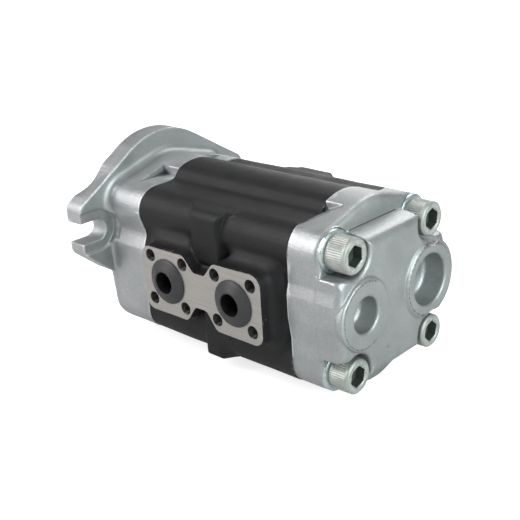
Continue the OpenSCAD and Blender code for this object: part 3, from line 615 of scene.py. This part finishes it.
def box(low, high):
    bm = bmesh.new()
    bmesh.ops.create_cube(bm, size=1)
    low, high = Vector(low), Vector(high)
    bmesh.ops.scale(bm, vec=high - low, verts=bm.verts)
    bmesh.ops.translate(bm, vec=(low + high) / 2, verts=bm.verts)
    return bm


def mirrored_box(low, high, side_y, side_z):
    """A box whose y and z count from the screws' centre, on one of the four sides."""
    ys = sorted((side_y * low.y, side_y * high.y))
    zs = sorted((side_z * low.z + mid_z, side_z * high.z + mid_z))
    return box((low.x, ys[0], zs[0]), (high.x, ys[1], zs[1]))


def painted(bm, slot_index):
    for face in bm.faces:
        face.material_index = slot_index
    return bm


def cut_away(bm, cutter):
    """Cuts a shape out with an exact boolean; the new walls take the cutter's slot indices."""
    body = mesh_object("body", bm)
    tool = mesh_object("tool", cutter)
    # The boolean keeps an index only where both objects have that many slots
    for made in (body, tool):
        for _ in (CAST, MACHINED, THREADED):
            made.data.materials.append(None)
    step = body.modifiers.new("cut", "BOOLEAN")
    step.operation = "DIFFERENCE"
    step.solver = "EXACT"
    step.use_self = True
    step.object = tool
    result = baked(body)
    old = tool.data
    bpy.data.objects.remove(tool)
    bpy.data.meshes.remove(old)
    return result


def softened(bm, voxel, rounds):
    """One closed skin around everything in the bmesh, with its edges rounded off."""
    made = mesh_object("skin", bm)
    remesh = made.modifiers.new("remesh", "REMESH")
    remesh.mode = "VOXEL"
    remesh.voxel_size = voxel
    smooth = made.modifiers.new("smooth", "SMOOTH")
    smooth.factor = 0.5
    smooth.iterations = rounds
    return baked(made)


def thinned(bm, keep):
    """The skin with a share of its triangles, kept where its shape turns most."""
    made = mesh_object("skin", bm)
    made.modifiers.new("thin", "DECIMATE").ratio = keep
    return baked(made)


def push_out(bm, axis, place, amount):
    """Moves the vertices that lie in a machined plane outwards."""
    for vert in bm.verts:
        if abs(vert.co[axis] - place) < 0.01:
            vert.co[axis] += amount


def machined_flat(bm, axis, place, side, slot_index):
    """Cuts the skin off at a plane and closes it with a flat face."""
    normal = Vector((0, 0, 0))
    normal[axis] = side
    point = Vector((0, 0, 0))
    point[axis] = place
    bmesh.ops.bisect_plane(bm, geom=bm.verts[:] + bm.edges[:] + bm.faces[:], dist=0.0001,
                           plane_co=point, plane_no=normal, clear_outer=True)
    rim = [edge for edge in bm.edges if edge.is_boundary]
    made = bmesh.ops.triangle_fill(bm, edges=rim, use_beauty=True, use_dissolve=False, normal=normal)
    for face in made["geom"]:
        if isinstance(face, bmesh.types.BMFace):
            face.material_index = slot_index


def smooth_step(value, low, high):
    share = min(max((value - low) / (high - low), 0.0), 1.0)
    return share * share * (3 - 2 * share)


def along_profile(points, value):
    """Value between points given as (place, amount), sorted by place."""
    for (start, low), (end, high) in zip(points, points[1:]):
        if value <= end:
            return low + (high - low) * max(value - start, 0) / (end - start)
    return points[-1][1]


def shape_sides(bm, profile, reach, near_only=False):
    """Moves the sides in or out by the profile, whose heights count from the screws' centre.

    reach holds the x from and to which the move grows."""
    flank = (34.0, 41.0)
    for vert in bm.verts:
        if near_only and vert.co.y > 0:
            continue
        outward = smooth_step(abs(vert.co.y), *flank) * smooth_step(vert.co.x, *reach)
        if outward > 0:
            amount = along_profile(profile, vert.co.z - mid_z)
            vert.co.y += amount * outward * (1 if vert.co.y > 0 else -1)


def uneven(bm, size, height, seed):
    """Slow unevenness of a casting, away from its machined faces."""
    shift = Vector((seed * 7.3, seed * 3.1, seed * 5.7))
    for vert in bm.verts:
        vert.co += vert.normal * height * noise.noise(vert.co / size + shift)


def finish(name, bm, slots, node, body="pump_case", sharp=38.0):
    """Turns a bmesh in millimetres into the piece that stands for a CAD node."""
    bmesh.ops.scale(bm, vec=(MM,) * 3, verts=bm.verts)
    bm.normal_update()
    limit = math.radians(sharp)
    for face in bm.faces:
        face.smooth = True
    for edge in bm.edges:
        edge.smooth = len(edge.link_faces) == 2 and edge.calc_face_angle(0.0) < limit
    made = mesh_object(name, bm, slots)
    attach(made, body)
    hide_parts(node)
    return made


# Castings

skin_margin = 3.0
fill_half = 38.0

# How far the sides stand out, as (height above the screws' centre, amount): the front cover's
# valleys beside its joint, and the rear cover's near side
valley = (
    (-60, 0.3), (5.8, 0.3), (8.2, -0.1), (14.3, -2.6), (16.5, -3.1), (18.8, -2.7), (26.1, 0.0),
    (28.9, 0.6), (60, 0.6))
rear_side = ((-60, -0.9), (-15, -0.9), (-3, 0.9), (9, 0.9), (15, -0.6), (60, -0.5))


def core_box(start, end):
    """Filling between two stations, so that a casting's skin closes over its hollows."""
    return box((start, -fill_half, mid_z - fill_half), (end, fill_half, mid_z + fill_half))


def around_gears(radius, steps=24):
    """Points (y, z) of a loop round both gear axes at a distance."""
    points = []
    for index in range(2 * steps + 2):
        lower = index > steps
        turn = math.pi * ((index - lower) / steps - 0.5)
        points.append((radius * math.sin(turn), radius * math.cos(turn) + gear_zs[lower]))
    return points


def seal_groove(start, end):
    """Cutter for a joint seal's groove: a ring with a rectangular section round both gears."""
    bm = bmesh.new()
    corners = ((start, groove_inner), (end, groove_inner), (end, groove_outer), (start, groove_outer))
    loops = [[bm.verts.new((x, y, z)) for y, z in around_gears(radius)] for x, radius in corners]
    for first, second in zip(loops, loops[1:] + loops[:1]):
        for index in range(len(first)):
            bm.faces.new((first[index - 1], first[index], second[index], second[index - 1]))
    bmesh.ops.recalc_face_normals(bm, faces=bm.faces)
    return bm


def dowel_holes(start):
    end = start + dowel_depth + over
    return [bore(start, end, dowel_r, side * dowel_y, mid_z - side * dowel_z, 24) for side in (-1, 1)]


def at_screws(start, end, radius):
    """A rod round each screw's axis, between two stations."""
    return [bore(start, end, radius, y, z) for y in screw_ys for z in screw_zs]


def threaded_hole(place, radius, depth, axis):
    """Cutter for a tapped hole with a countersunk mouth; place is in the outer face."""
    pitch = 1.0
    mouth = 0.55
    first_turn = 0.8
    root = radius - 0.02
    crest = radius - 0.42
    profile = [(over, 0), (over, radius + mouth + over), (0, radius + mouth), (-mouth, radius)]
    for turn in range(int((depth - 1.5) / pitch)):
        start = -first_turn - turn * pitch
        profile += [(start, root), (start - 0.45, crest), (start - 0.55, crest)]
    profile += [(-depth, crest), (-depth - 1.2, 0)]
    return placed(turned(profile, 28), place, axis)


def pilot_spigot():
    """The pilot, sunk a little into the flange and chamfered at its end."""
    sunk = 1.5
    edge = 1.0
    return turned([
        (sunk, 0), (sunk, spigot_r), (-spigot_h + edge, spigot_r), (-spigot_h, spigot_r - edge),
        (-spigot_h, 0)], 128)


def shaft_bores():
    """Cutter for the seal's seat with its ring groove, and for the shaft's bore behind it."""
    mouth = 0.5
    ring_start, ring_end = -1.6, -0.1
    return turned([
        (-spigot_h - over, 0), (-spigot_h - over, seal_r + mouth + over),
        (-spigot_h, seal_r + mouth), (-spigot_h + mouth, seal_r),
        (ring_start, seal_r), (ring_start, ring_groove_r), (ring_end, ring_groove_r), (ring_end, seal_r),
        (seal_depth, seal_r), (seal_depth, shaft_bore_r),
        (front_joint + over, shaft_bore_r), (front_joint + over, 0)], 96)


def hump_recesses():
    """Cutters for the four open corners beside the front cover's humps."""
    low = Vector((front_joint - 12.3, 13.3, 42.7))
    high = Vector((front_joint + 9.0, 60.0, 60.0))
    return [mirrored_box(low, high, side_y, side_z) for side_y in (-1, 1) for side_z in (-1, 1)]


def make_front_cover():
    neck_start = 13.0
    core_start = front_low.x - skin_margin
    core_end = 19.0
    core_r = 20.5
    bm = cad_copy("front_cover")
    push_out(bm, X, front_joint, skin_margin)
    push_out(bm, X, 0.0, -skin_margin)
    push_out(bm, X, front_low.x, -skin_margin)
    fill = [core_box(neck_start, front_joint + skin_margin), bore(core_start, core_end, core_r)]
    bm = softened(joined([bm] + fill), voxel=0.55, rounds=3)
    shape_sides(bm, valley, reach=(neck_start, 18.0))
    uneven(bm, size=14.0, height=0.12, seed=1)
    bm = thinned(bm, keep=0.35)
    machined_flat(bm, X, front_joint, 1, CAST)
    machined_flat(bm, X, 0.0, -1, MACHINED)
    bm = joined([bm, painted(pilot_spigot(), MACHINED)])
    hidden = [
        shaft_bores(),
        bore(front_joint - driven_bore_depth, front_joint + over, driven_bore_r, z=gear_zs[1]),
        seal_groove(front_joint - groove_depth, front_joint + over)]
    hidden += dowel_holes(front_joint - dowel_depth)
    hidden += at_screws(screw_low.x - 2.0, front_joint + over, shank_r)
    recesses = painted(joined(hump_recesses()), CAST)
    bm = cut_away(bm, joined([recesses, painted(joined(hidden), MACHINED)]))
    return finish("front_cover_casting", bm, ("cast_aluminium", "machined_aluminium"), "front_cover")


def taper_lower_bosses(bm, start, length):
    """Draws the lower bosses into the housing's corners, over a length of the pump from start on."""
    corner_r = 12.4
    corner_y = 44.0 - corner_r
    corner_z = 42.0 - corner_r
    for vert in bm.verts:
        share = min(max((vert.co.x - start) / length, 0.0), 1.0)
        below = mid_z - vert.co.z - corner_z
        if share == 0 or below <= 0 or vert.co.x > start + 3 * length:
            continue
        beyond = max(abs(vert.co.y) - corner_y, 0.0)
        out = math.hypot(beyond, below)
        if out > corner_r:
            keep = (corner_r + (out - corner_r) * (1 - share)) / out
            vert.co.z = mid_z - corner_z - below * keep
            if beyond > 0:
                vert.co.y = math.copysign(corner_y + beyond * keep, vert.co.y)


def blended(bm, chosen, rounds):
    """Smooths the vertices that a test chooses."""
    verts = [vert for vert in bm.verts if chosen(vert.co)]
    for _ in range(rounds):
        bmesh.ops.smooth_vert(
            bm, verts=verts, factor=0.5, use_axis_x=True, use_axis_y=True, use_axis_z=True)


def beside_pad(co):
    """Whether a point lies in the band where the delivery pad grows out of the housing's side."""
    between_joints = front_joint + 2.0 < co.x < rear_joint - 2.0
    off_middle = abs(co.x - mid_x) > 12.0
    return between_joints and off_middle and -48.5 < co.y < -38.0 and abs(co.z - mid_z) < 33.0


def square_about(x, y, half):
    """Corners of a square about a port's axis, in the plane of its face."""
    return [(x + side_x * half, y, mid_z + side_z * half) for side_x in (-1, 1) for side_z in (-1, 1)]


def port_taps():
    """The tapped holes round all ports, as (place, radius, depth, axis)."""
    taps = []
    for x in port_xs:
        for place in square_about(x, pad_y, delivery_half):
            taps.append((place, delivery_tap_r, delivery_tap_depth, "-Y"))
    for place in square_about(mid_x, suction_y, suction_half):
        taps.append((place, suction_tap_r, suction_tap_depth, "+Y"))
    return taps


def port_fill(taps):
    """Filling for the ports and tapped holes, which are cut again in the finished skin."""
    depth = 20.0
    below_tap = 8.0
    fill = [rod((x, pad_y - skin_margin, mid_z), depth, delivery_r + over, "+Y") for x in port_xs]
    fill.append(rod((mid_x, suction_y + skin_margin, mid_z), depth, suction_r + over, "-Y"))
    for (x, y, z), radius, tap_depth, axis in taps:
        if axis == "-Y":
            start, inward = (x, y - skin_margin, z), "+Y"
        else:
            start, inward = (x, y + skin_margin, z), "-Y"
        fill.append(rod(start, tap_depth + below_tap, radius + over, inward, 24))
    return fill


def port_bores():
    """Cutters for the delivery ports and the suction port, each down to the room it opens into."""
    start_y = pad_y - over
    bores = [rod((x, start_y, mid_z), -port_end_y - start_y, delivery_r, "+Y") for x in port_xs]
    start_y = suction_y + over
    bores.append(rod((mid_x, start_y, mid_z), start_y - gallery_y, suction_r, "-Y"))
    return bores


def housing_rooms():
    """Cutters for the gear chambers, the quill's hole, the suction gallery and its branches."""
    rooms = []
    for z in gear_zs:
        rooms.append(bore(front_joint - over, front_wall, chamber_r, z=z, steps=96))
        rooms.append(bore(rear_wall, rear_joint + over, chamber_r, z=z, steps=96))
    rooms.append(bore(front_wall - over, rear_wall + over, quill_hole_r))
    rooms.append(bore(front_port_x - branch_r, rear_port_x + branch_r, gallery_r, gallery_y, mid_z))
    for x in port_xs:
        rooms.append(rod((x, port_end_y, mid_z), branch_length, branch_r, "+Y"))
    return rooms


def make_gear_housing():
    bm = cad_copy("gear_housing")
    push_out(bm, X, front_joint, -skin_margin)
    push_out(bm, X, rear_joint, skin_margin)
    push_out(bm, Y, pad_y, -skin_margin)
    push_out(bm, Y, suction_y, skin_margin)
    taps = port_taps()
    core = core_box(front_joint - skin_margin, rear_joint + skin_margin)
    bm = softened(joined([bm, core] + port_fill(taps)), voxel=0.6, rounds=5)
    blended(bm, beside_pad, rounds=40)
    taper_lower_bosses(bm, start=mid_x + 1.0, length=9.0)
    uneven(bm, size=18.0, height=0.2, seed=2)
    bm = thinned(bm, keep=0.3)
    machined_flat(bm, X, front_joint, -1, CAST)
    machined_flat(bm, X, rear_joint, 1, CAST)
    machined_flat(bm, Y, pad_y, -1, MACHINED)
    machined_flat(bm, Y, suction_y, 1, MACHINED)
    openings = port_bores() + [threaded_hole(*tap) for tap in taps]
    hidden = housing_rooms()
    hidden += dowel_holes(front_joint - over) + dowel_holes(rear_joint - dowel_depth)
    hidden += at_screws(front_joint - over, rear_joint + over, screw_hole_r)
    # The port bores and tapped holes take the third slot, a near-black finish that paints their shade
    bm = cut_away(bm, painted(joined(openings), THREADED))
    bm = cut_away(bm, painted(joined(hidden), MACHINED))
    slots = ("black_housing", "machined_face", "tapped_thread_shade")
    return finish("housing_casting", bm, slots, "gear_housing")


def plateau_shoulder(co):
    """Whether a point lies in the rounded edge of the rear cover's plateau, between two screws."""
    return co.x > rear_joint + 21.0 and abs(co.y) < 18.0 and 26.0 < abs(co.z - mid_z) < 39.0


def plateau_creases():
    """Cutters for the fine creases at the foot of the plateau, above and below."""
    low = Vector((rear_joint + 18.5, -20.5, 38.1))
    high = Vector((rear_joint + 20.0, 17.0, 38.5))
    return [mirrored_box(low, high, 1, side_z) for side_z in (-1, 1)]


def make_rear_cover():
    skin_start = rear_joint - skin_margin
    core_end = 162.0
    bm = cad_copy("rear_cover")
    push_out(bm, X, rear_joint, -skin_margin)
    fill = [core_box(skin_start, core_end)]
    fill += at_screws(skin_start, washer_low.x - 0.05, screw_hole_r + over)
    bm = softened(joined([bm] + fill), voxel=0.5, rounds=3)
    shape_sides(bm, rear_side, reach=(140.0, 141.0), near_only=True)
    uneven(bm, size=14.0, height=0.12, seed=3)
    bm = thinned(bm, keep=0.35)
    blended(bm, plateau_shoulder, rounds=25)
    machined_flat(bm, X, rear_joint, -1, CAST)
    hidden = [bore(rear_joint - over, rear_joint + relief_depth, relief_r, z=z) for z in gear_zs]
    hidden.append(seal_groove(rear_joint - over, rear_joint + groove_depth))
    hidden += dowel_holes(rear_joint - over)
    hidden += at_screws(rear_joint - over, washer_low.x + over, screw_hole_r)
    creases = painted(joined(plateau_creases()), CAST)
    bm = cut_away(bm, joined([creases, painted(joined(hidden), MACHINED)]))
    return finish("rear_cover_casting", bm, ("ringed_casting", "machined_aluminium"), "rear_cover")


make_front_cover()
make_gear_housing()
make_rear_cover()


# Screws, washers and plugs

def knurl(bm, rows, pitch, steps):
    """Presses the knurl's hollows into the rings of vertices at the x places in rows."""
    depths = (0.0, 0.24, 0.1)
    for vert in bm.verts:
        row = round((vert.co.x - rows[0]) / pitch)
        on_rim = abs(vert.co.yz.length - head_r) < 0.01
        if on_rim and 0 < row < len(rows) and vert.co.x < rows[-1] + 0.1:
            column = round(math.atan2(vert.co.z, vert.co.y) / math.tau * steps) % len(depths)
            worn = noise.noise(vert.co / 3.0)
            depth = depths[column] * (0.85 + 0.5 * worn)
            vert.co.yz = vert.co.yz.normalized() * (head_r - depth)


def knurled_screw():
    """One socket head screw about X, with its seat at x = 0; its socket is in the second slot."""
    head_h = screw_high.x - washer_high.x
    length = washer_high.x - screw_low.x
    knurl_pitch = 0.62
    knurl_rows = [0.9 + knurl_pitch * row for row in range(16)]
    steps = 144
    profile = [
        (-length, 0), (-length, shank_r - 1), (-length + 1, shank_r), (0, shank_r), (0, head_r - 0.5),
        (0.35, head_r - 0.12)]
    profile += [(x, head_r) for x in knurl_rows]
    profile += [
        (head_h - 0.95, head_r), (head_h - 0.75, head_r - 0.1), (head_h - 0.12, head_r - 0.75),
        (head_h, head_r - 0.95), (head_h, 0)]
    bm = turned(profile, steps)
    knurl(bm, knurl_rows, knurl_pitch, steps)

    key_half = 5.0
    key_r = key_half / math.cos(math.pi / 6)
    key_depth = 5.4
    point_depth = 6.6
    socket = turned([
        (head_h - point_depth, 0), (head_h - key_depth, key_r),
        (head_h + over, key_r), (head_h + over, 0)], 6)
    mouth = turned([
        (head_h - 0.5, 0), (head_h - 0.5, key_r - 0.25),
        (head_h + 0.5, key_r + 0.75), (head_h + 0.5, 0)], 48)
    # The socket takes the second slot, a dark finish that paints its shade
    return cut_away(cut_away(bm, painted(socket, 1)), painted(mouth, 0))


def make_screws():
    one = knurled_screw()
    places = [(washer_high.x, y, z) for y in screw_ys for z in screw_zs]
    turns = (-12, 0, -12, -7)
    parts = []
    for place, degrees in zip(places, turns):
        part = one.copy()
        turn = Matrix.Rotation(math.radians(degrees), 4, "X")
        bmesh.ops.transform(part, matrix=Matrix.Translation(place) @ turn, verts=part.verts)
        parts.append(part)
    one.free()
    slots = ("zinc_screw", "socket_painted_shade")
    return finish("knurled_screws", joined(parts), slots, "cover_screws", sharp=30.0)


def make_washers():
    outer = (washer_high.y - washer_low.y) / 2 - (screw_ys[1] - screw_ys[0]) / 2
    thick = washer_high.x - washer_low.x
    inner = 6.5
    edge = 0.35
    profile = [
        (0, inner), (0, outer - edge), (edge * 0.4, outer - edge * 0.3), (edge, outer),
        (thick - edge, outer), (thick - edge * 0.4, outer - edge * 0.3), (thick, outer - edge),
        (thick, inner), (0, inner)]
    parts = [placed(turned(profile, 96), (washer_low.x, y, z)) for y in screw_ys for z in screw_zs]
    return finish("zinc_washers", joined(parts), ("zinc_washer",), "screw_washers", sharp=50.0)


def make_plug(node, x, face_y, axis, port_r, hole_r):
    """A moulded transport plug: a cone up to the rim of its blind hole."""
    low, high = span(node)
    head = (high.x - low.x) / 2
    body_r = port_r - 0.08
    rim = 3.3
    profile = [
        (-plug_length, 0), (-plug_length, port_r - 0.9), (-plug_length + 1, body_r), (0, body_r),
        (0, head - 0.15), (0.2, head), (0.65, head), (0.85, head - 0.15), (1.7, head - 1.9),
        (rim - 0.25, hole_r + 1.5), (rim, hole_r + 1.0), (rim, hole_r + 0.35), (rim - 0.35, hole_r),
        (-plug_length + 3.0, hole_r - 0.3), (-plug_length + 2.0, hole_r - 1.3), (-plug_length + 1.5, 0)]
    bm = turned(profile, 96)
    # The blind hole's walls take the second slot, a near-black finish that paints its shade
    for face in bm.faces:
        if all(vert.co.yz.length < hole_r + 0.1 and vert.co.x < rim - 0.2 for vert in face.verts):
            face.material_index = 1
    placed(bm, (x, face_y, mid_z), axis)
    return finish(node + "_moulding", bm, ("plug_plastic", "plug_hole_shade"), node, sharp=45.0)


make_screws()
make_washers()
make_plug("front_delivery_plug", front_port_x, pad_y, "-Y", delivery_r, hole_r=6.0)
make_plug("rear_delivery_plug", rear_port_x, pad_y, "-Y", delivery_r, hole_r=6.0)
make_plug("suction_plug", mid_x, suction_y, "+Y", suction_r, hole_r=11.0)


# The other CAD nodes keep their shape and take a finish

for name, made in frame["nodes"].items():
    made.data.materials.clear()
    made.data.materials.append(finishes[record_slot[name]])


# Floor, backdrop and light

def make_floor():
    """A pale floor that the camera sees as white, with the pump's shadow on it."""
    bm = bmesh.new()
    bmesh.ops.create_grid(bm, x_segments=1, y_segments=1, size=4.0)
    bmesh.ops.translate(bm, vec=(0, 0, floor_z * MM), verts=bm.verts)
    floor = mesh_object("floor", bm)
    material = bpy.data.materials.new("floor_white")
    material.use_nodes = True
    tree = material.node_tree
    plain = tree.nodes["Principled BSDF"]
    dim = add(tree, "ShaderNodeBsdfDiffuse")
    plain.inputs["Base Color"].default_value = (0.72, 0.72, 0.72, 1)
    plain.inputs["Roughness"].default_value = 0.8
    plain.inputs["Specular IOR Level"].default_value = 0.0
    dim.inputs["Color"].default_value = (0.68, 0.68, 0.68, 1)
    glow = add(tree, "ShaderNodeEmission")
    glow.inputs["Strength"].default_value = 0.74
    lit = add(tree, "ShaderNodeAddShader")
    link(tree, plain.outputs["BSDF"], lit.inputs[0])
    link(tree, glow.outputs["Emission"], lit.inputs[1])
    path = add(tree, "ShaderNodeLightPath")
    seen = add(tree, "ShaderNodeMixShader")
    link(tree, path.outputs["Is Camera Ray"], seen.inputs["Fac"])
    link(tree, dim.outputs["BSDF"], seen.inputs[1])
    link(tree, lit.outputs["Shader"], seen.inputs[2])
    link(tree, seen.outputs["Shader"], tree.nodes["Material Output"].inputs["Surface"])
    floor.data.materials.append(material)


def make_world():
    world = bpy.data.worlds.new("studio")
    scene.world = world
    world.use_nodes = True
    tree = world.node_tree
    around = tree.nodes["Background"]
    around.inputs["Color"].default_value = (0.97, 0.985, 1.0, 1)
    around.inputs["Strength"].default_value = 0.34
    seen = add(tree, "ShaderNodeBackground")
    seen.inputs["Color"].default_value = (1, 1, 1, 1)
    seen.inputs["Strength"].default_value = 1.0
    path = add(tree, "ShaderNodeLightPath")
    mix = add(tree, "ShaderNodeMixShader")
    link(tree, path.outputs["Is Camera Ray"], mix.inputs["Fac"])
    link(tree, around.outputs["Background"], mix.inputs[1])
    link(tree, seen.outputs["Background"], mix.inputs[2])
    link(tree, mix.outputs["Shader"], tree.nodes["World Output"].inputs["Surface"])


def make_softbox(name, place, size, power, tint=(1, 1, 1), target=(0.09, 0, -0.01)):
    data = bpy.data.lights.new(name, "AREA")
    data.energy = power
    data.color = tint
    data.size = size
    lamp = bpy.data.objects.new(name, data)
    lamp.location = place
    lamp.rotation_euler = (Vector(target) - Vector(place)).to_track_quat("-Z", "Y").to_euler()
    scene.collection.objects.link(lamp)


make_floor()
make_world()
make_softbox("key_softbox", (-0.45, -0.65, 0.8), 0.7, 6.6, (1.0, 0.965, 0.98))
make_softbox("side_softbox", (0.95, -0.1, 0.32), 0.6, 6.1, (0.88, 1.0, 0.968))
make_softbox("back_softbox", (-0.1, 0.8, 0.8), 0.7, 5.0)
make_softbox("front_softbox", (-0.55, -0.95, 0.42), 0.6, 4.3, (1.0, 0.97, 0.985))
make_softbox("rim_softbox", (-0.45, 0.75, 0.12), 0.3, 0.5)
scene.view_settings.view_transform = "Standard"
